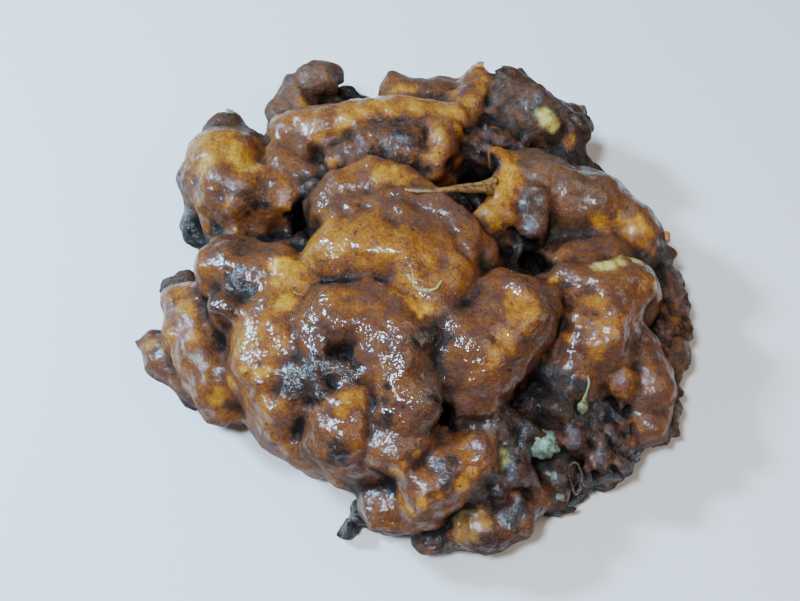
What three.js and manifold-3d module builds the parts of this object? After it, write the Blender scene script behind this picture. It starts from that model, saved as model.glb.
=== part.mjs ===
// An apple fritter: one piece of fried yeast dough, about as wide as a hand.
// Chunks of dough were dropped together round diced apple and fused while they fried, so the top is a crowd
// of rounded lumps, rolls and folds with creases and burnt pits between them, and the underside is flattened.
// Millimetres. +X is the fritter's right, +Y its back, +Z up, and the origin is on the surface it rests on,
// under the middle of its outline.
import * as THREE from "three";
import { mergeVertices } from "three/addons/utils/BufferGeometryUtils.js";
import Module from "manifold-3d";

// Driving dimensions, in millimetres.
const CELL = 3.4; // the size of the facets
const REACH = [[-82, 82], [-76, 80], [-2, 52]]; // the space that holds the fritter, along X, Y and Z
const BLEND = 1.5; // how far two lumps melt into each other at a crease
const FILL = 4.0; // creases narrower than a ball of this radius are filled
const GROOVE = 1.1; // how deep the filled creases stay
const SAMPLE = CELL / 2; // the distance between the samples that show which creases are narrow
const FOOT = 0.78; // how high a lump's lowest ball sits, in its own radii, so that the floor flattens it
const WARP = [[1.5, 31], [0.8, 15]]; // how far waves of this length push a round lump out of shape
const CRUST_RELIEF = [[0.5, 23], [0.4, 11]]; // height and wavelength of the crust's unevenness
const CURL = 22.0; // how high up the dough's side the underside starts to draw in
const UNDERCUT = 0.16; // how much narrower than its outline the dough is where it meets the floor

// Each lump is a chain of balls, [x, y, top, radius], that stands on the floor. A ball reaches its top.
const LUMPS = {
  glossyRight: [[27, -14, 45, 11.5], [17, -27, 45, 12.5], [14.5, -34, 38, 10.5]],
  glossyRightFlank: [[12, -21.5, 43, 8]],
  glossyLeftTop: [[-4.5, -23, 46, 10.5], [-3, -31, 45, 10.5], [-1, -39.5, 42, 10]],
  glossyLeftLow: [[-17.5, -41.5, 40, 7], [-18, -46, 38, 8.5], [-17, -47.5, 33, 8]],
  glossyLeftRight: [[-1.5, -43.5, 40, 9.5], [-4, -48, 37, 9.5], [-10.5, -49.5, 31, 8]],
  creviceDough: [[-21.5, -30, 39.5, 7], [-26, -34, 37, 6]],
  creviceRidge: [[-23.5, -28, 41, 3.2], [-22.5, -36.5, 40, 3]],
  creviceKnob: [[-17, -31.5, 41.5, 3.4], [-14.5, -34, 41, 3.2]],
  creviceFlake: [[-28.5, -30.5, 40, 3], [-32, -38.5, 38, 3]],
  flankKnob: [[2, -24.5, 44, 4]],
  roundCap: [[-23.5, -20.5, 43, 9.5], [-18.5, -16.5, 45, 11], [-8.5, -16.5, 45, 10]],
  leftBulge: [[-46, -1, 39, 11.5], [-34.5, -5, 41, 11.5]],
  leftBody: [[-36, -16, 40, 12.5], [-36, -28, 39, 12], [-31.5, -36, 36, 11.5], [-25, -43.5, 30, 10]],
  westDarkKnob: [[-64, 0, 22, 5.5]],
  westRidge: [
    [-62, -6, 28, 6], [-57.5, -14, 30, 8], [-55, -23, 30, 8], [-52.5, -29, 28, 7.5], [-51.5, -32, 24, 5.5],
  ],
  westTip: [[-72, -14, 17, 4.5], [-67.5, -20, 19, 5.5], [-61, -26, 19, 6]],
  westInnerKnob: [[-48, -14, 39, 5]],
  westLowKnob: [[-61, -28, 17, 5]],
  westSideKnob: [[-66, -5, 15, 4.5]],
  northWestDome: [[-52, 34, 38, 11.5]],
  northWestCrown: [[-52, 40, 36, 8.5], [-53, 45.5, 32, 6.5]],
  northWestSide: [[-57, 31, 32, 9.5]],
  northWestFront: [[-49, 26, 38, 12.5], [-36, 27, 33, 10]],
  northWestTail: [[-35, 34, 34, 6], [-28, 32, 33, 4]],
  northWestFoot: [[-62, 26, 19, 7], [-59, 24, 16, 5.5]],
  slotKnob: [[-27.5, 25, 34, 4.8]],
  northKnob: [[-26, 67, 30, 4.5], [-34, 64, 28, 6], [-35, 56, 28, 7]],
  northCragsLeft: [[-39, 60, 17, 4], [-40, 54, 18, 4.5], [-37, 49, 20, 5]],
  northCragsRight: [[-21, 66, 18, 4], [-14, 66, 18, 4]],
  northRoll: [[-34, 45, 34, 7], [-17, 46, 38, 8], [-2, 48, 38, 7], [11, 48, 36, 6]],
  northLobe: [[-4, 60, 32, 6], [7, 60, 32, 6]],
  northSaddle: [[13, 48, 35, 5], [19, 60, 34, 6.5]],
  northBridge: [[18, 40, 34, 5.5], [29, 40, 33, 6]],
  northEastRoll: [[29, 57, 36, 10], [38, 50, 36, 9.5], [45, 47, 32, 7]],
  northEastKnob: [[47, 54, 28, 4.5]],
  eastRoll: [[33, 27, 40, 9.5], [48, 22, 38, 10.5], [62, 15, 32, 9]],
  eastCorner: [[69, 10, 24, 5.5]],
  eastBand: [[26, 30, 40, 5], [26, 20, 40, 4.5]],
  eastBackRim: [[45, 37, 27, 8], [58, 27, 22, 7]],
  eastNose: [[32, 18, 40, 4.5], [33, 11, 37, 4.5]],
  eastSmallKnob: [[23, 13, 40, 5]],
  eastFlap: [[19.5, 2.5, 38.5, 5]],
  eastLobe: [[42, -4, 36, 10], [54, -4.5, 37, 12.5], [47.5, -17, 37, 12], [40.5, -28, 32, 9]],
  eastLobeTop: [[44, 4.5, 33, 5], [56, 5, 33, 5.5]],
  eastRim: [[70, 4, 20, 6.5], [72, -7, 18, 6], [72, -17, 17, 6.5], [71, -28, 16, 6.5], [67, -38, 14, 6.5]],
  eastRimFoot: [[59, -50, 10, 5], [54, -54, 8, 4.5]],
  southEastRidge: [[61, -20, 29, 6], [62.5, -30.5, 28, 7.5], [61, -37, 23, 7]],
  southEastFloor: [[41, -34, 27, 9], [50.5, -40, 25, 9.5], [53.5, -46, 21, 8.5], [48, -51, 16, 7.5]],
  southEastKnob: [[52.5, -30.5, 29, 4]],
  southEastKnobLow: [[56.5, -44, 22, 4.5]],
  southEastKnobMiddle: [[48, -49, 23, 4.5]],
  southEastKnobLeft: [[42, -43, 26, 4.5]],
  southEastKnobTop: [[38, -37.5, 29, 4.5]],
  southEastShelf: [[36, -35, 29, 7], [31, -35, 27, 6]],
  appleKnob: [[34.5, -43.5, 26, 5.3]],
  southEastFinger: [[39, -50.5, 18, 4], [40, -60, 13, 4]],
  southEastCrag: [[44, -63, 8, 3.5], [49, -57, 8, 4]],
  southRoll: [[-6, -61.5, 24, 7], [4, -57, 32, 9.5], [15, -50, 32, 8]],
  southRimRoll: [[4.5, -70.5, 14, 5], [15.5, -66.5, 20, 7.5], [26, -61.5, 21, 7.5], [33.5, -57, 17, 6]],
  southMound: [[12.5, -42.5, 30, 6.5], [20.5, -43, 31, 7.5], [28.5, -44, 29, 6.5]],
  southMoundFoot: [[15, -57, 28, 6.5], [25, -53.5, 28, 6.5]],
  centreGold: [
    [-19, 3.5, 44, 8.5], [-10.5, 2, 46, 10.5], [-1, 1, 46, 10], [0.5, -10, 44.5, 6.5], [2, -16, 42.5, 4],
  ],
  foldInner: [[-10, 10.5, 43, 4], [-4.5, 9.5, 44, 4.5], [3, 7, 44, 5], [7.5, 2, 43.5, 5], [9, -2, 43, 4.5]],
  tongue: [[13, -5, 43.5, 4], [9.5, -9, 44, 5], [6, -15, 43.5, 4.5], [2.5, -18.5, 42, 3]],
  foldMiddle: [
    [-20, 13.5, 41, 4], [-11, 14.5, 43, 4], [-4.5, 15.5, 43.5, 4.5], [4, 14, 43.5, 5], [12, 11, 43, 5.5],
    [14.5, 4.5, 42, 5.5],
  ],
  foldOuter: [
    [-23, 18, 40, 5.5], [-18, 21.5, 42, 6.5], [-10, 24, 43, 7], [-3.5, 22.5, 42.5, 6], [2, 19.5, 41, 4],
  ],
  northMound: [[-18.5, 33.5, 37, 5], [-10.5, 36, 40, 8], [-1, 37, 40.5, 8]],
  northFinger: [[8.5, 40, 40, 5], [8, 32.5, 39, 4.5]],
  northFlap: [[-30, 40, 34, 5]],
  burntCrumb: [[-11, -61, 8, 3.5], [-16, -68, 7, 3], [-20, -73, 5, 2.5]],
  burntCrumbLimb: [[-14, -64, 7, 3], [-10, -70, 5, 2.5]],
};

// The dough that the creases and pits show, as low wide lumps.
const BODY = {
  middle: [[-40, 0, 30, 16], [-5, 0, 36, 24], [42, -6, 28, 20]],
  front: [[-25, -34, 25, 16], [12, -42, 24, 20], [44, -34, 18, 18]],
  back: [[-45, 32, 22, 16], [-5, 42, 30, 20], [36, 38, 26, 18]],
  underside: [[-48, 14, 16, 12], [-10, 20, 18, 14], [30, 18, 18, 14], [55, 12, 16, 12]],
  backFoot: [[-24, 56, 18, 9], [8, 58, 20, 10], [34, 52, 20, 10], [58, 22, 18, 10]],
};

// The burnt pits between the lumps, as chains of balls, [x, y, bottom, radius], with a shaft up to the air.
const PITS = {
  northHole: [[16, 30, 14, 4], [20, 28.5, 14, 4]],
  eastHole: [[33, 4, 16, 4]],
  westSlot: [[-31, 20, 14, 1.6], [-30, 15, 14, 2.4]],
  southGap: [[4, -40.5, 18, 1.6], [8, -41, 18, 1.6]],
  southGapEast: [[28, -35.5, 18, 1.8]],
  strandHollow: [[14, 17, 33, 3.5]],
};

// The thread of dough that was pulled across a hollow as the lumps drew apart.
const STRANDS = [
  {
    route: [[-3, 17.5, 40], [2, 17, 42], [7, 17, 42], [13, 18, 42], [18, 17.5, 41], [25, 17, 38]],
    radius: 1.2,
  },
];
const STRAND_STEPS = 10;
const STRAND_SIDES = 6;
const AIR = 400; // the space over the floor, along each side

// The corners of a cell, the faces between them in ring order, and its edges.
const CORNERS = [0, 1, 2, 3, 4, 5, 6, 7].map((c) => [c & 1, (c >> 1) & 1, c >> 2]);
const FACES = [[0, 1, 3, 2], [4, 5, 7, 6], [0, 1, 5, 4], [2, 3, 7, 6], [0, 2, 6, 4], [1, 3, 7, 5]];
const EDGES = CORNERS.flatMap((_, c) => [1, 2, 4].filter((bit) => !(c & bit)).map((bit) => [c, c | bit]));
const BARELY = 1e-3 * CELL; // how far inside a filled corner lies
const PROBE = 0.05; // the step over which the field's slope is measured
const GENTLEST = 0.5; // the slope that a gentler one counts as
const FARTHEST = 0.3 * CELL; // how far a vertex may move to settle on the surface

// The uneven waves: how each is stretched along its axis, bent by the next axis, and where it starts.
const WAVE_BEND = 1.9;
const WAVES = [
  { stretch: 1, bentBy: 0.83, start: 0.7 },
  { stretch: 1.13, bentBy: 0.91, start: 1.3 },
  { stretch: 1.07, bentBy: 0.79, start: 2.1 },
];

const clamp = (value, low, high) => Math.min(Math.max(value, low), high);

// How far a point is from a chain of balls. Shaft gives the lowest and highest middle of a ball anywhere.
function chainDistance(balls, shaft, x, y, z) {
  let nearest = Infinity;
  for (let i = 0; i < Math.max(1, balls.length - 1); i++) {
    const [ax, ay, az, ar] = balls[i];
    const [bx, by, bz, br] = balls[Math.min(i + 1, balls.length - 1)];
    const [dx, dy] = [bx - ax, by - ay];
    const along = clamp(((x - ax) * dx + (y - ay) * dy) / (dx * dx + dy * dy || 1), 0, 1);
    const radius = ar + (br - ar) * along;
    const [low, high] = shaft(az + (bz - az) * along, radius);
    const distance = Math.hypot(x - ax - dx * along, y - ay - dy * along, z - clamp(z, low, high)) - radius;
    nearest = Math.min(nearest, distance);
  }
  return nearest;
}

// A lump stands on the floor and a pit is open to the air.
const standing = (top, radius) => [Math.min(top - radius, radius * FOOT), top - radius];
const open = (bottom, radius) => [bottom + radius, Infinity];

// The smaller of two distances, rounded off where they are within BLEND of each other.
function melt(a, b) {
  const overlap = Math.max(BLEND - Math.abs(a - b), 0);
  return Math.min(a, b) - (overlap * overlap) / (4 * BLEND);
}

// A smooth uneven wave between -1 and 1.
function ripple(x, y, z, wavelength) {
  const turns = [x, y, z].map((value) => (2 * Math.PI * value) / wavelength);
  const heights = WAVES.map(({ stretch, bentBy, start }, axis) => {
    const bend = WAVE_BEND * Math.sin(bentBy * turns[(axis + 1) % 3] + start);
    return Math.sin(stretch * turns[axis] + bend);
  });
  return (heights[0] + heights[1] + heights[2]) / 3;
}

// The place among the round lumps that a place in the uneven, undercut dough comes from.
function warped(x, y, z) {
  const drawnIn = 1 + UNDERCUT * Math.max(1 - z / CURL, 0) ** 2;
  let [wx, wy] = [x * drawnIn, y * drawnIn];
  for (const [push, wavelength] of WARP) {
    wx += push * ripple(y, z, x, wavelength);
    wy += push * ripple(z, x, y, wavelength);
  }
  return [wx, wy, z];
}

// How far a point is from the lumps as they melt into each other: negative inside.
function lumpDistance(x, y, z) {
  const place = warped(x, y, z);
  let distance = Infinity;
  for (const balls of [...Object.values(LUMPS), ...Object.values(BODY)])
    distance = melt(distance, chainDistance(balls, standing, ...place));
  return distance;
}

// Samples of a distance over the whole space that holds the fritter.
function fineSamples(distanceAt) {
  const low = REACH.map(([from]) => from - 2 * CELL - FILL);
  const size = REACH.map(([, to], axis) => Math.ceil((to + 3 * CELL + FILL - low[axis]) / SAMPLE));
  const index = (i, j, k) => i + size[0] * (j + size[1] * k);
  const values = new Float64Array(size[0] * size[1] * size[2]);
  for (let k = 0; k < size[2]; k++) {
    for (let j = 0; j < size[1]; j++) {
      for (let i = 0; i < size[0]; i++) values[index(i, j, k)] = distanceAt(i, j, k, low);
    }
  }
  return { low, size, index, values };
}

// The lumps with their narrow creases filled: no ball of radius FILL fits into them from outside.
function filledLumps() {
  const lumps = fineSamples((i, j, k, low) =>
    lumpDistance(low[0] + i * SAMPLE, low[1] + j * SAMPLE, low[2] + k * SAMPLE),
  );
  const reach = Math.ceil(FILL / SAMPLE);
  const steps = Array.from({ length: 2 * reach + 1 }, (_, n) => n - reach);
  const ball = steps.flatMap((i) =>
    steps.flatMap((j) => steps.map((k) => [i, j, k, SAMPLE * Math.hypot(i, j, k)])),
  );
  const shell = ball.filter(([, , , length]) => length > FILL - SAMPLE && length <= FILL);
  return fineSamples((i, j, k) => {
    let highest = lumps.values[lumps.index(i, j, k)] + FILL;
    for (const [a, b, c, length] of shell) {
      const [x, y, z] = [i + a, j + b, k + c].map((n, axis) => clamp(n, 0, lumps.size[axis] - 1));
      highest = Math.max(highest, lumps.values[lumps.index(x, y, z)] + FILL - length);
    }
    return highest - FILL;
  });
}

// A sampled distance at any place, from the samples round it.
function sampled({ low, size, index, values }, ...place) {
  const steps = place.map((value, axis) => clamp((value - low[axis]) / SAMPLE, 0, size[axis] - 1 - BARELY));
  const [i, j, k] = steps.map(Math.floor);
  const [u, v, w] = [steps[0] - i, steps[1] - j, steps[2] - k];
  return CORNERS.reduce((sum, [a, b, c]) => {
    const share = (a ? u : 1 - u) * (b ? v : 1 - v) * (c ? w : 1 - w);
    return sum + share * values[index(i + a, j + b, k + c)];
  }, 0);
}

const filled = filledLumps();

// How far a point is from the fritter's surface: negative inside.
function fritterDistance(x, y, z) {
  const place = warped(x, y, z);
  let distance = melt(lumpDistance(x, y, z), sampled(filled, x, y, z) + GROOVE);
  for (const balls of Object.values(PITS)) distance = -melt(-distance, chainDistance(balls, open, ...place));
  for (const [height, wavelength] of CRUST_RELIEF) distance += height * ripple(x, y, z, wavelength);
  return Math.max(distance, -CELL - z);
}

// The distances at the corners of a grid of cells that has air on every side.
function sampleGrid() {
  const low = REACH.map(([from]) => from - 2 * CELL);
  const size = REACH.map(([from, to]) => Math.ceil((to - from) / CELL) + 5);
  const index = (i, j, k) => i + size[0] * (j + size[1] * k);
  const place = (i, j, k) => [low[0] + i * CELL, low[1] + j * CELL, low[2] + k * CELL];
  const values = new Float64Array(size[0] * size[1] * size[2]);
  const eachCell = (visit, margin = 1) => {
    for (let k = 0; k < size[2] - margin; k++) {
      for (let j = 0; j < size[1] - margin; j++) {
        for (let i = 0; i < size[0] - margin; i++) visit(i, j, k);
      }
    }
  };
  eachCell((i, j, k) => (values[index(i, j, k)] = fritterDistance(...place(i, j, k))), 0);
  return { size, index, place, values, eachCell };
}

// Fills the corners where two parts would meet only along an edge or at a point: the surface is one sheet.
function fillPinches({ index, values, eachCell }) {
  let pinched = true;
  const fill = (corners) => {
    for (const c of corners) values[c] = Math.min(values[c], -BARELY);
    pinched = true;
  };
  while (pinched) {
    pinched = false;
    eachCell((i, j, k) => {
      const corners = CORNERS.map(([a, b, c]) => index(i + a, j + b, k + c));
      const inside = corners.map((c) => values[c] < 0);
      for (const face of FACES) {
        const [p, q, r, s] = face.map((c) => inside[c]);
        if (p === r && q === s && p !== q) fill(face.map((c) => corners[c]));
      }
      const solid = inside.filter(Boolean).length;
      const lonely = solid === 2 || solid === 6 ? inside.indexOf(solid === 2) : -1;
      if (lonely >= 0 && inside[7 - lonely] === inside[lonely]) fill(corners);
    });
  }
}

// Moves a point onto the surface along the steepest way, but no further than its own cell allows.
function settle(point) {
  const distance = fritterDistance(...point);
  const slope = [0, 1, 2].map((axis) => {
    const ahead = point.map((value, a) => value + (a === axis ? PROBE : 0));
    return (fritterDistance(...ahead) - distance) / PROBE;
  });
  const steepness = Math.max(Math.hypot(...slope), GENTLEST) ** 2;
  return point.map((value, a) => value - clamp((distance * slope[a]) / steepness, -FARTHEST, FARTHEST));
}

// The surface as a closed mesh: one vertex in each cell that the surface crosses, and two triangles across
// each grid edge that it cuts.
function meshSurface(grid) {
  const { size, index, place, values, eachCell } = grid;
  const vertexOf = new Map();
  const points = [];
  eachCell((i, j, k) => {
    const corner = CORNERS.map(([a, b, c]) => [i + a, j + b, k + c]);
    const value = corner.map((c) => values[index(...c)]);
    const cut = EDGES.filter(([a, b]) => value[a] < 0 !== value[b] < 0);
    if (!cut.length) return;
    const crossings = cut.map(([a, b]) => {
      const [from, to] = [place(...corner[a]), place(...corner[b])];
      return from.map((f, axis) => f + ((to[axis] - f) * value[a]) / (value[a] - value[b]));
    });
    const middle = [0, 1, 2].map((axis) => crossings.reduce((sum, c) => sum + c[axis], 0) / crossings.length);
    vertexOf.set(index(i, j, k), points.length);
    points.push(settle(middle));
  });
  const triangles = [];
  const gap = (a, b) => Math.hypot(...points[a].map((value, axis) => value - points[b][axis]));
  eachCell((i, j, k) => {
    for (const axis of [0, 1, 2]) {
      const along = [0, 1, 2].map((a) => Number(a === axis));
      const here = values[index(i, j, k)] < 0;
      if (here === values[index(i + along[0], j + along[1], k + along[2])] < 0) continue;
      const [u, v] = [1, 2].map((turn) => [0, 1, 2].map((a) => Number(a === (axis + turn) % 3)));
      const ring = [[0, 0], [1, 0], [1, 1], [0, 1]].map(([a, b]) =>
        vertexOf.get(index(...[i, j, k].map((n, d) => n - a * u[d] - b * v[d]))),
      );
      if (!here) ring.reverse();
      const [a, b, c, d] = ring;
      triangles.push(...(gap(a, c) < gap(b, d) ? [a, b, c, a, c, d] : [b, c, d, b, d, a]));
    }
  });
  return { points, triangles };
}

const wasm = await Module();
wasm.setup();

function solidFrom(positions, corners) {
  const vertProperties = new Float32Array(positions);
  const triVerts = new Uint32Array(corners);
  return new wasm.Manifold(new wasm.Mesh({ numProp: 3, vertProperties, triVerts }));
}

function solidOf(geometry) {
  geometry.deleteAttribute("normal");
  geometry.deleteAttribute("uv");
  const merged = mergeVertices(geometry);
  return solidFrom(merged.attributes.position.array, merged.index.array);
}

// The largest body of a solid, without loose scraps and sealed hollows.
function largestBody(solid) {
  return solid.decompose().reduce((best, body) => (body.volume() > best.volume() ? body : best));
}

// The dough with its flat underside, where the floor cuts it off.
function doughSolid() {
  const grid = sampleGrid();
  fillPinches(grid);
  const { points, triangles } = meshSurface(grid);
  const air = solidOf(new THREE.BoxGeometry(AIR, AIR, AIR).translate(0, 0, AIR / 2));
  return solidFrom(points.flat(), triangles).intersect(air);
}

// A thin pulled thread of dough.
function strandSolid({ route, radius }) {
  const path = new THREE.CatmullRomCurve3(route.map((point) => new THREE.Vector3(...point)));
  const section = new THREE.Shape().absarc(0, 0, radius, 0, 2 * Math.PI);
  const sizes = { steps: STRAND_STEPS, curveSegments: STRAND_SIDES };
  const options = { extrudePath: path, bevelEnabled: false, ...sizes };
  return solidOf(new THREE.ExtrudeGeometry(section, options));
}

function geometryFrom(solid) {
  const { vertProperties, triVerts } = solid.getMesh();
  const geometry = new THREE.BufferGeometry();
  geometry.setAttribute("position", new THREE.BufferAttribute(vertProperties, 3));
  geometry.setIndex(new THREE.BufferAttribute(triVerts, 1));
  geometry.computeVertexNormals();
  return geometry;
}

// Puts the origin on the floor under the middle of the outline.
function centred(geometry) {
  geometry.computeBoundingBox();
  const { min, max } = geometry.boundingBox;
  return geometry.translate(-(min.x + max.x) / 2, -(min.y + max.y) / 2, -min.z);
}

function friedDough() {
  const solid = STRANDS.reduce((dough, strand) => dough.add(strandSolid(strand)), doughSolid());
  const material = new THREE.MeshStandardMaterial({ color: 0x6b3312, roughness: 0.35, metalness: 0 });
  const mesh = new THREE.Mesh(centred(geometryFrom(largestBody(solid))), material);
  mesh.name = "fritter";
  return mesh;
}

const fritter = new THREE.Group();
fritter.add(friedDough());
export default fritter;
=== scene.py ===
import itertools
import math

import bmesh
import bpy
import numpy as np
import openvdb
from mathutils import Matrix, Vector


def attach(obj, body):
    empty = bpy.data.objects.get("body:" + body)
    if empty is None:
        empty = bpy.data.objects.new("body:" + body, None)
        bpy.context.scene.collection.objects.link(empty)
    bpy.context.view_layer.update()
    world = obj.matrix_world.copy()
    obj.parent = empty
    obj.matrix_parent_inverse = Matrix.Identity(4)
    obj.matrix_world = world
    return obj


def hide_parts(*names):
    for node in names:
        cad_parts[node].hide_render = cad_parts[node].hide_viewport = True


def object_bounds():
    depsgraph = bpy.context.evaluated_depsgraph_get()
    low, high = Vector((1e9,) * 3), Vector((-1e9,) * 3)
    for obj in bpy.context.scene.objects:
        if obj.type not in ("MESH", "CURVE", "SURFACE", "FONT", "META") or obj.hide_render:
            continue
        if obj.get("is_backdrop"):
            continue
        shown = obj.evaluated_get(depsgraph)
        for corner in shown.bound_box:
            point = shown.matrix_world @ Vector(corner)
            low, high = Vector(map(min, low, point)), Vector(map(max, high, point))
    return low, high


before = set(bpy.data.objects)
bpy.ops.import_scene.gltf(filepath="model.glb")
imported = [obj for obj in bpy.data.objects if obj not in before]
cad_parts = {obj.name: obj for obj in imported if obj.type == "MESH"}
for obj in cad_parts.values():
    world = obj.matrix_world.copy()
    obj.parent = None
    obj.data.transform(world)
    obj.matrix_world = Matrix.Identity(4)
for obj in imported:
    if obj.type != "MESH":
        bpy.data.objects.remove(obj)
solid_low, solid_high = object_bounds()

MM = 0.001

# ----------------------------------------------------------------------
# The dough, in millimetres. These lumps, pits and waves are the ones that the solid is made of.

STEP = 0.83  # the distance between the samples of the dough's shape
REACH = ((-82, 82), (-78, 78), (-2, 51))  # the space that holds the fritter
BLEND = 1.5  # how far two lumps melt into each other at a crease
FILL = 4.0  # creases narrower than a ball of this radius are filled
GROOVE = 1.1  # how deep the filled creases stay
FOOT = 0.78  # how high a lump's lowest ball sits, in its own radii
WARP = ((1.5, 31), (0.8, 15))  # push and wavelength of what pushes a round lump out of shape
RELIEF = ((0.5, 23), (0.4, 11))  # height and wavelength of the crust's unevenness
CURL = 22.0  # how high up the dough's side the underside starts to draw in
UNDERCUT = 0.16  # how much narrower than its outline the dough is where it meets the table
LAYOUT_MIDDLE = (1.6, -0.5)  # the middle of the lumps' outline, which comes to lie over the origin
NEAR = 7.0  # how far round a lump its shape is worked out
FAR = 9.0  # the distance that stands for anything further away
SKY = 1e3  # how high up the pits are open
FLAT = 0.02  # faces this near the floor are the flat underside

# A ripple's waves along X, Y and Z: each wave's stretch, the stretch of the wave that bends it, and where
# that one starts.
WAVES = ((1.0, 0.83, 0.7), (1.13, 0.91, 1.3), (1.07, 0.79, 2.1))
WAVE_BEND = 1.9

# The scene's finer relief, in layers of a height, a wavelength and a seed.
SKIN_RELIEF = ((0.50, 7.5, 1), (0.45, 4.0, 2), (0.18, 2.3, 3))
CRAG_RELIEF = ((0.9, 5.2, 4), (0.55, 2.7, 5))
SKIN = 2.6  # how far from the surface the finer relief is worked out
NOISE_SIZE = 61  # after this many bumps a layer's noise comes again

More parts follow.
